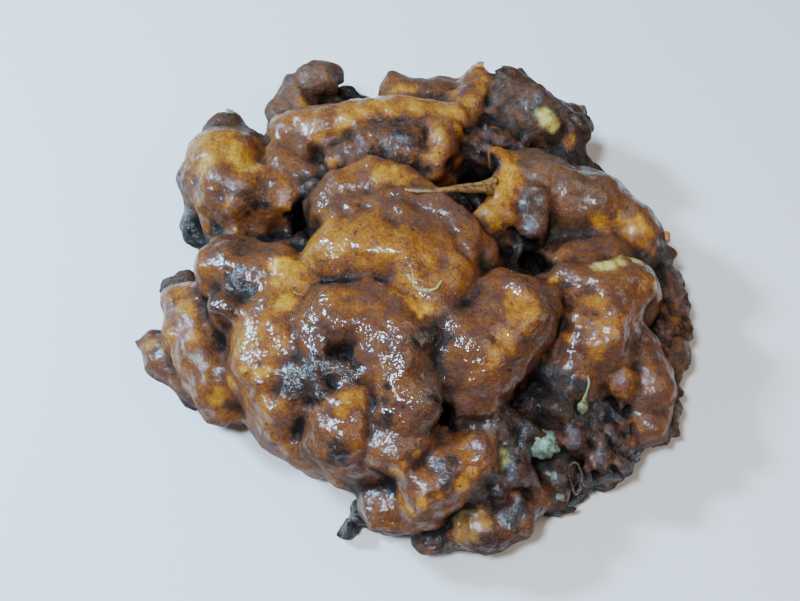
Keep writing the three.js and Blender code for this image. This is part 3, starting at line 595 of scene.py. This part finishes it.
def dough_field():
    """The dough's distances on a grid, negative inside, and its crust there."""
    axes = [np.arange(low, high, STEP, dtype=np.float32) for low, high in REACH]
    x, y, z = np.meshgrid(*axes, indexing="ij")
    wx, wy, wz = warped(x, y, z)
    field = np.full(x.shape, FAR, np.float32)
    crust = np.zeros((len(CHANNELS), *x.shape), np.float32)

    def turn(block, share, look):
        """Mixes this share of a look into the crust."""
        for channel, value in enumerate(look):
            crust[channel][block] += (value - crust[channel][block]) * share

    for name, balls in [*BODY.items(), *LUMPS.items()]:
        b = block_of(balls, field.shape, False)
        distance, aside = chain_distance(balls, standing, wx[b], wy[b], wz[b])
        if name in RIDGES:
            height, spacing = RIDGES[name]
            bend = RIDGE_BEND * ripple(wx[b], wy[b], wz[b], RIDGE_BEND_LENGTH)
            distance = distance + height * np.sin(2 * math.pi * aside / spacing + bend)
        # the body's crust, seen down in the creases, is painted dark: partly darker glaze, partly painted
        # shade
        turn(b, smooth(0.5 + (field[b] - distance) / (2 * CRUST_MIX)), CRUSTS.get(name, DEEP_CRUST_AND_SHADE))
        field[b] = melt(field[b], distance)
    field = melt(field, filled(field) + GROOVE)
    for balls in PITS.values():
        b = block_of(balls, field.shape, True)
        distance, _ = chain_distance(balls, opened, wx[b], wy[b], wz[b])
        # the pits' crust is painted near black: painted shade
        turn(b, smooth(0.5 + (-distance - field[b]) / (2 * CRUST_MIX)), PIT_SHADE_CRUST)
        field[b] = -melt(-field[b], distance)
    for height, wavelength in RELIEF:
        field += height * ripple(x, y, z, wavelength)
    add_fine_relief(field, crust[CHANNELS.index("crag")], x, y, z)
    return np.maximum(field, -z), crust


def add_fine_relief(field, crag, x, y, z):
    """Moves the surface by the fine unevenness of its skin and, where it is craggy, by sharper crags."""
    near = np.abs(field) < SKIN
    places = x[near], y[near], z[near]
    relief = grains(*places, SKIN_RELIEF)
    for height, wavelength, seed in CRAG_RELIEF:
        ridged = 3 * np.abs(grain(*places, wavelength, seed)) - 1  # sharp furrows, level on the whole
        relief += height * crag[near] * ridged
    field[near] -= relief


def box_blur(values, reach):
    """Averages over boxes that reach this far in millimetres, twice, which is nearly round."""
    half = max(round(reach / STEP), 1)
    for axis in (0, 1, 2, 0, 1, 2):
        pad = [(0, 0)] * 3
        pad[axis] = (half + 1, half)
        total = np.cumsum(np.pad(values, pad, mode="edge"), axis=axis, dtype=np.float64)
        count = values.shape[axis]
        high = np.take(total, np.arange(2 * half + 1, 2 * half + 1 + count), axis=axis)
        low = np.take(total, np.arange(count), axis=axis)
        values = ((high - low) / (2 * half + 1)).astype(np.float32)
    return values


def sampled(values, points):
    """The values of a grid at these places."""
    place = (points - [low for low, _ in REACH]) / STEP
    limit = np.array(values.shape) - 2
    low = np.clip(np.floor(place).astype(int), 0, limit)
    part = np.clip(place - low, 0, 1)
    total = 0
    for corner in itertools.product((0, 1), repeat=3):
        share = 1
        for axis, side in enumerate(corner):
            share = share * (part[:, axis] if side else 1 - part[:, axis])
        total = total + share * values[tuple((low + corner).T)]
    return total


def surface_of(field):
    """The places, in millimetres, and the four-sided faces of a field's surface."""
    grid = openvdb.FloatGrid(FAR)
    grid.copyFromArray(field.astype(np.float32))
    points, quads = grid.convertToQuads(isovalue=0.0)
    return points * STEP + [low for low, _ in REACH], quads[:, ::-1]


def patch_share(points, patches):
    """How much of each place a group of patches covers, with an uneven edge."""
    x, y, z = points.T
    uneven = grains(x, y, z, PATCH_RAGGED)
    share = np.zeros(len(points))
    for px, py, pz, radius in patches:
        distance = np.sqrt((x - px) ** 2 + (y - py) ** 2 + (z - pz) ** 2) / (radius * PATCH_GROW)
        share = np.maximum(share, smooth((1 + PATCH_EDGE - distance + uneven) / (2 * PATCH_EDGE)))
    return share


def crust_values(field, crust, points):
    """What the crust's material reads at each place of the surface."""
    values = {channel: sampled(crust[i], points) for i, channel in enumerate(CHANNELS)}
    values["apple"] = np.zeros(len(points))
    for name, patches in PATCHES.items():
        share = patch_share(points, patches)
        for channel, value in PATCH_LOOKS[name].items():
            values[channel] = values[channel] + (value - values[channel]) * share
    solid = np.clip(0.5 - field / STEP, 0, 1).astype(np.float32)
    for name, reach in DEPTHS.items():
        values[name] = sampled(box_blur(solid, reach), points) - 0.5
    return values


def new_piece(name, points, faces):
    """A piece with smooth shading, from places in millimetres in the layout of the lumps."""
    mesh = bpy.data.meshes.new(name)
    mesh.from_pydata(((points - (*LAYOUT_MIDDLE, 0)) * MM).tolist(), [], faces)
    mesh.shade_smooth()
    piece = bpy.data.objects.new(name, mesh)
    bpy.context.scene.collection.objects.link(piece)
    return piece


def flatten_underside(mesh):
    """Puts large triangles in the place of the underside's many small flat faces."""
    work = bmesh.new()
    work.from_mesh(mesh)
    flat = [f for f in work.faces if all(v.co.z < FLAT * MM for v in f.verts)]
    bmesh.ops.delete(work, geom=flat, context="FACES")
    rim = [e for e in work.edges if e.is_boundary]
    bmesh.ops.triangle_fill(work, use_beauty=False, edges=rim, normal=(0, 0, -1))
    work.to_mesh(mesh)
    work.free()
    mesh.shade_smooth()


def dough():
    """The whole crust as one piece, with the values that its material reads."""
    field, crust_grid = dough_field()
    points, quads = surface_of(field)
    piece = new_piece("crust", points, quads.tolist())
    for name, values in crust_values(field, crust_grid, points).items():
        attribute = piece.data.attributes.new(name, "FLOAT", "POINT")
        attribute.data.foreach_set("value", values.astype(np.float32))
    flatten_underside(piece.data)
    return piece


# ----------------------------------------------------------------------
# The materials.

MIX_SHARE, MIX_A, MIX_B, MIX_RESULT = 0, 6, 7, 2  # a Mix node's sockets where it blends colours


class Shader:
    """Builds one material's nodes."""

    def __init__(self, name):
        self.material = bpy.data.materials.new(name)
        self.material.use_nodes = True
        self.tree = self.material.node_tree
        self.surface = self.tree.nodes["Principled BSDF"]
        self.place = self.node("ShaderNodeTexCoord").outputs["Object"]

    def node(self, kind, **settings):
        made = self.tree.nodes.new(kind)
        for key, value in settings.items():
            setattr(made, key, value)
        return made

    def feed(self, socket, value):
        """Links a socket to another one, or sets its value."""
        if isinstance(value, bpy.types.NodeSocket):
            self.tree.links.new(value, socket)
        else:
            socket.default_value = value

    def math(self, operation, a, b):
        made = self.node("ShaderNodeMath", operation=operation)
        self.feed(made.inputs[0], a)
        self.feed(made.inputs[1], b)
        return made.outputs[0]

    def add(self, *values):
        total = values[0]
        for value in values[1:]:
            total = self.math("ADD", total, value)
        return total

    def times(self, a, b):
        return self.math("MULTIPLY", a, b)

    def larger(self, a, b):
        return self.math("MAXIMUM", a, b)

    def span(self, value, low, high, to_low=0.0, to_high=1.0):
        """Turns what runs from low to high into what runs gently from to_low to to_high."""
        made = self.node("ShaderNodeMapRange", interpolation_type="SMOOTHSTEP")
        self.feed(made.inputs["Value"], value)
        for name, number in (("From Min", low), ("From Max", high), ("To Min", to_low), ("To Max", to_high)):
            made.inputs[name].default_value = number
        return made.outputs["Result"]

    def upward(self):
        """How far the surface faces up, from -1 to 1."""
        coordinates = self.node("ShaderNodeTexCoord")
        parts = self.node("ShaderNodeSeparateXYZ")
        self.feed(parts.inputs[0], coordinates.outputs["Normal"])
        return parts.outputs["Z"]

    def read(self, name):
        """A value that the mesh carries."""
        return self.node("ShaderNodeAttribute", attribute_name=name).outputs["Fac"]

    def noise(self, size, detail=2.0, roughness=0.5, distortion=0.0):
        """Noise from 0 to 1 whose bumps are this many millimetres across."""
        made = self.node("ShaderNodeTexNoise")
        self.feed(made.inputs["Vector"], self.place)
        made.inputs["Scale"].default_value = 1 / (size * MM)
        made.inputs["Detail"].default_value = detail
        made.inputs["Roughness"].default_value = roughness
        made.inputs["Distortion"].default_value = distortion
        return made.outputs["Fac"]

    def wobble(self, size, amount, detail):
        """Noise from -amount to amount."""
        return self.times(self.math("SUBTRACT", self.noise(size, detail), 0.5), 2 * amount)

    def ramp(self, value, stops):
        """The colour that a value has among stops of (value, colour)."""
        made = self.node("ShaderNodeValToRGB")
        elements = made.color_ramp.elements
        while len(elements) < len(stops):
            elements.new(0.5)
        for element, (position, color) in zip(elements, stops):
            element.position = position
            element.color = (*color, 1)
        self.feed(made.inputs["Fac"], value)
        return made.outputs["Color"]

    def blend(self, share, a, b):
        """A share of colour b over colour a."""
        made = self.node("ShaderNodeMix", data_type="RGBA")
        self.feed(made.inputs[MIX_SHARE], share)
        for socket, color in ((made.inputs[MIX_A], a), (made.inputs[MIX_B], b)):
            self.feed(socket, (*color, 1) if isinstance(color, tuple) else color)
        return made.outputs[MIX_RESULT]

    def bump(self, height, distance, under=None):
        """Bumps this many millimetres high, on top of other bumps."""
        made = self.node("ShaderNodeBump")
        made.inputs["Distance"].default_value = distance * MM
        self.feed(made.inputs["Height"], height)
        if under:
            self.feed(made.inputs["Normal"], under)
        return made.outputs["Normal"]


# The crust's colours from golden to burnt.
FRYING = [
    (0.00, (0.430, 0.252, 0.027)),
    (0.14, (0.350, 0.160, 0.0135)),
    (0.32, (0.225, 0.078, 0.0075)),
    (0.48, (0.135, 0.039, 0.0072)),
    (0.64, (0.068, 0.0225, 0.0085)),
    (0.80, (0.029, 0.0115, 0.0070)),
    (0.93, (0.0125, 0.0058, 0.0042)),
    (1.00, (0.0058, 0.0038, 0.0034)),
]
PLUM = (0.070, 0.024, 0.020)  # of the patches of middling brown that fried reddish
DUST = (0.098, 0.062, 0.040)
FILM_AND_HIGHLIGHT = (0.42, 0.42, 0.44)  # pale bluish flecks on the glaze: partly glaze that dried white, partly painted highlights
APPLE = [(0.0, (0.26, 0.20, 0.03)), (0.6, (0.42, 0.38, 0.11)), (1.0, (0.62, 0.62, 0.34))]

# What makes the browning uneven: the size of the mottles in millimetres, how much they do, and their detail.
MOTTLES = ((13, 0.26, 2), (4.5, 0.13, 3), (1.1, 0.19, 3), (0.45, 0.20, 1))
CRAG_MOTTLES = (2.0, 0.55, 3)
CREASE_BROWN_AND_SHADE = 1.4  # how much browner the dough is painted in its creases: partly darker glaze, partly painted shade
# How much browner the dough is painted in its hollows: partly darker glaze, partly painted shade.
HOLLOW_BROWN_AND_SHADE = 0.65

# Dull dough under a coat of glaze, which gives sharp small glints.
GLAZED = {"Roughness": 0.55, "Specular IOR Level": 0.10, "Coat Roughness": 0.07, "Coat IOR": 1.5}

# Below, a noise has the size of its bumps in millimetres, its detail and its roughness, and a span has the
# values that it starts and ends at, and what they become.


def crust_color(s, crust):
    """Dough that fried from golden to burnt, with dust and bits of apple on it, darker in its creases and
    hollows (partly darker glaze, partly painted shade), and pale flecks that are partly dried glaze and
    partly painted highlights.
    """
    specks = s.span(s.noise(2.4, 3, 0.6), 0.64, 0.70)
    brown = s.add(
        crust["brown"],
        *[s.wobble(*mottles) for mottles in MOTTLES],
        s.times(crust["crag"], s.wobble(*CRAG_MOTTLES)),
        s.times(specks, s.span(crust["crag"], 0.0, 0.4, 0.22, 0.34)),
        # painted shade, with darker glaze, in the creases and hollows
        s.times(s.larger(crust["crease"], 0.0), CREASE_BROWN_AND_SHADE),
        s.times(s.larger(crust["hollow"], 0.0), HOLLOW_BROWN_AND_SHADE),
    )
    color = s.ramp(brown, FRYING)
    middling = s.times(s.span(brown, 0.30, 0.5), s.span(brown, 0.80, 0.62))
    reddish = s.span(s.noise(4.5, 3), 0.45, 0.62, 0.0, 0.5)
    color = s.blend(s.times(middling, reddish), color, PLUM)
    powdery = s.span(s.noise(1.6, 4, 0.6), 0.35, 0.65, 0.25, 0.8)
    color = s.blend(s.times(crust["dusty"], powdery), color, DUST)
    showing = s.span(s.noise(1.4, 3), 0.30, 0.55, 0.4, 1.0)
    color = s.blend(s.times(crust["apple"], showing), color, s.ramp(s.noise(1.1, 3, 0.6), APPLE))
    # pale flecks on the glaze: partly dried glaze, partly painted highlights
    dried_film_and_highlight = s.span(s.noise(1.2, 3, 0.7), 0.70, 0.76)
    return s.blend(s.times(dried_film_and_highlight, s.span(crust["glaze"], 0.4, 0.8, 0.0, 0.45)), color, FILM_AND_HIGHLIGHT)


def crust_wetness(s, crust):
    """How much wet glaze there is: in patches, less in creases and where it ran off steep flanks."""
    patchy = s.larger(s.span(s.noise(3.2, 3), 0.32, 0.60), 0.35)
    outside_creases = s.span(crust["crease"], 0.03, 0.12, 1.0, 0.12)
    off_flanks = s.span(s.upward(), 0.10, 0.60, 0.15, 1.0)
    return s.times(s.times(crust["glaze"], patchy), s.times(outside_creases, off_flanks))


def crust_bumps(s, crust):
    """Wrinkles, crags where the crust is craggy, and the finest wrinkles on top."""
    bumps = s.bump(s.noise(3.0, 3), 0.60)
    bumps = s.bump(s.times(crust["crag"], s.noise(1.6, 4, 0.7)), 1.0, bumps)
    return s.bump(s.noise(1.3, 2, 0.5, 0.5), 0.18, bumps)


def crust_material():
    s = Shader("fritter_crust")
    crust = {name: s.read(name) for name in (*CHANNELS, "apple", *DEPTHS)}
    s.feed(s.surface.inputs["Base Color"], crust_color(s, crust))
    s.feed(s.surface.inputs["Coat Weight"], s.span(crust_wetness(s, crust), 0.05, 0.7))
    for name, value in GLAZED.items():
        s.surface.inputs[name].default_value = value
    bumps = crust_bumps(s, crust)
    s.feed(s.surface.inputs["Normal"], bumps)
    s.feed(s.surface.inputs["Coat Normal"], bumps)
    return s.material


def plain_material(name, dark, light, roughness, grain_size):
    """Mottles of two colours with a fine uneven surface."""
    s = Shader(name)
    mottles = s.span(s.noise(grain_size, 3), 0.35, 0.65)
    s.feed(s.surface.inputs["Base Color"], s.blend(mottles, dark, light))
    s.surface.inputs["Roughness"].default_value = roughness
    s.feed(s.surface.inputs["Normal"], s.bump(s.noise(grain_size / 2, 3), 0.2))
    return s.material


# The small pieces' materials: the dark and the light colour, the roughness, and the size of the mottles.
PLAIN_MATERIALS = {
    "pulled_dough": ((0.070, 0.028, 0.008), (0.19, 0.092, 0.022), 0.35, 1.2),
    "apple_flesh": ((0.048, 0.062, 0.036), (0.135, 0.185, 0.130), 0.45, 1.6),
    "apple_green": ((0.060, 0.058, 0.018), (0.150, 0.160, 0.060), 0.35, 0.8),
    "burnt_skin": ((0.010, 0.006, 0.005), (0.090, 0.062, 0.045), 0.22, 0.8),
    "golden_crumb": ((0.26, 0.10, 0.025), (0.45, 0.20, 0.06), 0.5, 0.7),
    "pale_glaze": ((0.19, 0.115, 0.035), (0.34, 0.235, 0.090), 0.3, 0.8),
}

# ----------------------------------------------------------------------
# The small pieces: threads along a route of (x, y, z, radius), and rough bits of a middle and sizes.

THREADS = {
    "pulled_thread": [
        (-5, 17, 42, 0.5), (-1, 17, 43.1, 0.8), (5, 16.5, 43.5, 0.7), (11, 17.5, 42.8, 0.75),
        (17, 18.5, 41, 1.0), (22, 20, 38.6, 1.5), (26, 21, 35, 1.2),
    ],
    "pulled_thread_low": [
        (8, 17.5, 42, 0.5), (12, 19.5, 41, 0.5), (17, 20.5, 40.2, 0.7), (23, 22, 39.5, 1.2),
    ],
    "apple_bud": [
        (45, -30.5, 30.5, 0.35), (45.2, -32.5, 30.8, 0.3), (44.6, -34.8, 30, 0.35), (44, -36.4, 28.9, 0.6),
        (43.8, -37.6, 28.2, 1.5), (43.6, -38.8, 27.3, 1.2), (43.6, -39.6, 26.6, 0.4),
    ],
    "skin_ring": [
        (40.5, -50.5, 17.4, 0.3), (42.2, -49.6, 18.2, 0.5), (43.8, -51.6, 17, 0.5), (43.9, -54.6, 13.6, 0.5),
        (42.6, -56.2, 12.6, 0.5), (41.4, -54.6, 14.6, 0.45), (40.7, -52.4, 16.6, 0.3),
    ],
    "glaze_crescent": [
        (0.2, -9.8, 44.3, 0.2), (1, -11.8, 43.8, 0.5), (3.6, -12.9, 43.7, 0.6), (6, -12.4, 44.0, 0.5),
        (7.6, -10.2, 44.4, 0.2),
    ],
    "brown_fibre": [(-31, -10, 41.4, 0.12), (-29.6, -12.6, 42.2, 0.2), (-27.2, -13.6, 42.4, 0.1)],
    "brown_fibre_low": [(-26.8, -15.8, 43, 0.1), (-25.4, -13.8, 43, 0.2), (-23.8, -12.8, 42.6, 0.1)],
}
BITS = {
    "apple_dice": ((33.0, -46.4, 23.4), (4.2, 3.4, 3.0)),
    "apple_end": ((38, -57.6, 13.8), (1.5, 1.0, 1.0)),
    "sugar_crumb": ((20, 64.3, 34.2), (1.3, 1.1, 0.9)),
    "rim_bit": ((70.6, 13, 25.2), (0.9, 1.4, 1.0)),
    "pale_bit": ((-51.2, 50, 31.6), (1.2, 0.9, 0.8)),
    "glazed_fleck": ((-5.5, -54.5, 29.5), (1.3, 1.1, 0.8)),
}

# Each small piece's material and slot.
LOOKS = {
    "pulled_thread": ("pulled_dough", "crust"),
    "pulled_thread_low": ("pulled_dough", "crust"),
    "apple_bud": ("apple_green", "apple"),
    "skin_ring": ("burnt_skin", "char"),
    "glaze_crescent": ("pale_glaze", "crust"),
    "brown_fibre": ("pulled_dough", "crust"),
    "brown_fibre_low": ("pulled_dough", "crust"),
    "apple_dice": ("apple_flesh", "apple"),
    "apple_end": ("apple_flesh", "apple"),
    "sugar_crumb": ("golden_crumb", "crust"),
    "rim_bit": ("golden_crumb", "crust"),
    "pale_bit": ("apple_flesh", "apple"),
    "glazed_fleck": ("burnt_skin", "char"),
}
STEPS_A_SPAN = 6  # rings between two stops of a thread's route
SIDES = 10  # of a thread
OVAL = 0.18  # how far a thread's section is from round
LOBED = 0.12
BIT_DETAIL = 4  # how often a bit's faces are divided
BIT_CUBE = 0.5  # a bit is a mix of a cube and a ball
BIT_BALL = 0.45
BIT_ROUGHNESS = ((0.22, 1.6, 21), (0.20, 0.8, 22))  # height in radii, wavelength in millimetres and seed


def along_route(route):
    """Places and radii along a smooth curve through a thread's route."""
    stops = np.array([route[0], *route, route[-1]], float)
    found = []
    for a, b, c, d in zip(stops, stops[1:], stops[2:], stops[3:]):
        for t in np.arange(STEPS_A_SPAN) / STEPS_A_SPAN:
            bend = (2 * a - 5 * b + 4 * c - d) * t * t + (3 * (b - c) + d - a) * t**3
            found.append(0.5 * (2 * b + (c - a) * t + bend))
    return np.array([*found, stops[-1]])


def thread(name, route):
    """A pulled thread with an uneven round section and closed ends."""
    stops = along_route(route)
    ways = np.gradient(stops[:, :3], axis=0)
    points, faces = [], []
    for (x, y, z, radius), way in zip(stops, ways):
        forward = way / np.linalg.norm(way)
        side = np.cross(forward, (0, 0, 1))
        side /= np.linalg.norm(side)
        up = np.cross(side, forward)
        for turn in np.arange(SIDES) / SIDES * 2 * math.pi:
            uneven = 1 + OVAL * math.sin(2 * turn + x) + LOBED * math.sin(3 * turn + 2.3 * y)
            outward = math.cos(turn) * side + math.sin(turn) * up
            points.append((x, y, z) + radius * uneven * outward)
    for ring in range(len(stops) - 1):
        first = ring * SIDES
        for n in range(SIDES):
            m = (n + 1) % SIDES
            faces.append((first + n, first + SIDES + n, first + SIDES + m, first + m))
    last = (len(stops) - 1) * SIDES
    faces += [tuple(range(SIDES)), tuple(last + n for n in reversed(range(SIDES)))]
    return new_piece(name, np.array(points), faces)


def bit(name, middle, sizes):
    """A rough bit with blunt corners."""
    work = bmesh.new()
    bmesh.ops.create_icosphere(work, subdivisions=BIT_DETAIL, radius=1)
    ball = np.array([v.co for v in work.verts])
    faces = [tuple(v.index for v in f.verts) for f in work.faces]
    work.free()
    cube = ball / np.max(np.abs(ball), axis=1, keepdims=True)
    points = (cube * BIT_CUBE + ball * BIT_BALL) * sizes
    height = grains(*(points + middle).T, BIT_ROUGHNESS)
    return new_piece(name, points * (1 + height[:, None]) + middle, faces)


def finish_piece(piece, material):
    piece.data.materials.append(material)
    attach(piece, "root")


crust = dough()
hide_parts("fritter")
finish_piece(crust, crust_material())

plain = {name: plain_material(name, *look) for name, look in PLAIN_MATERIALS.items()}
for name, route in THREADS.items():
    material, slot = LOOKS[name]
    finish_piece(thread(name, route), plain[material])
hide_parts("fritter")
for name, (middle, sizes) in BITS.items():
    material, slot = LOOKS[name]
    finish_piece(bit(name, middle, sizes), plain[material])

# ----------------------------------------------------------------------
# The table, the light and the camera, in metres.

TABLE_SIZE = 6
TABLE_COLOR = (0.68, 0.66, 0.65)

# Each lamp's place and width, its power in watts, and its colour.
LAMPS = {
    "window": ((-0.48, 0.16, 0.46), 0.10, 12.0, (0.40, 0.70, 1.0)),
    "ceiling": ((-0.16, -0.20, 0.70), 0.08, 8.5, (0.66, 0.84, 1.0)),
    "room": ((0.45, -0.10, 0.70), 0.6, 3.0, (1.0, 0.84, 0.66)),
}
LAMP_TARGET = Vector((0, 0, 0.02))
ROOM_GLOW = 0.15  # how strongly white light comes from all around

ELEVATION = math.radians(64)  # how far the photograph looks down
DISTANCE = 0.330  # from the camera to its target
TARGET = Vector((-0.0046, -0.0035, 0.020))
NEAREST = 0.01  # what is nearer to the camera isn't drawn
PHOTO_WIDTH = 800  # pixels
FOCAL_PIXELS = 1208
SENSOR = 36  # the sensor's width in millimetres


def table():
    bpy.ops.mesh.primitive_plane_add(size=TABLE_SIZE)
    floor = bpy.context.object
    floor.name = "table"
    material = bpy.data.materials.new("table")
    material.use_nodes = True
    shader = material.node_tree.nodes["Principled BSDF"]
    shader.inputs["Base Color"].default_value = (*TABLE_COLOR, 1)
    shader.inputs["Roughness"].default_value = 0.6
    floor.data.materials.append(material)
    floor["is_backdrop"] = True


def place_facing(name, data, place, forward):
    """Puts a lamp or camera into the scene, facing this way."""
    placed = bpy.data.objects.new(name, data)
    placed.location = place
    placed.rotation_mode = "QUATERNION"
    placed.rotation_quaternion = forward.to_track_quat("-Z", "Y")
    bpy.context.scene.collection.objects.link(placed)
    return placed


def soft_light(name, place, size, power, color):
    light = bpy.data.lights.new(name, "AREA")
    light.size = size
    light.energy = power
    light.color = color
    place_facing(name, light, place, LAMP_TARGET - Vector(place))


def room_glow():
    world = bpy.data.worlds.new("room")
    world.use_nodes = True
    background = world.node_tree.nodes["Background"]
    background.inputs["Color"].default_value = (1, 1, 1, 1)
    background.inputs["Strength"].default_value = ROOM_GLOW
    bpy.context.scene.world = world


def camera():
    forward = Vector((0, math.cos(ELEVATION), -math.sin(ELEVATION)))
    data = bpy.data.cameras.new("camera")
    data.sensor_width = SENSOR
    data.lens = FOCAL_PIXELS / PHOTO_WIDTH * SENSOR
    data.clip_start = NEAREST
    bpy.context.scene.camera = place_facing("camera", data, TARGET - DISTANCE * forward, forward)


table()
for name, lamp in LAMPS.items():
    soft_light(name, *lamp)
room_glow()
camera()

visual_low, visual_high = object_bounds()
sizes = {"cad": [list(solid_low), list(solid_high)], "visual": [list(visual_low), list(visual_high)]}
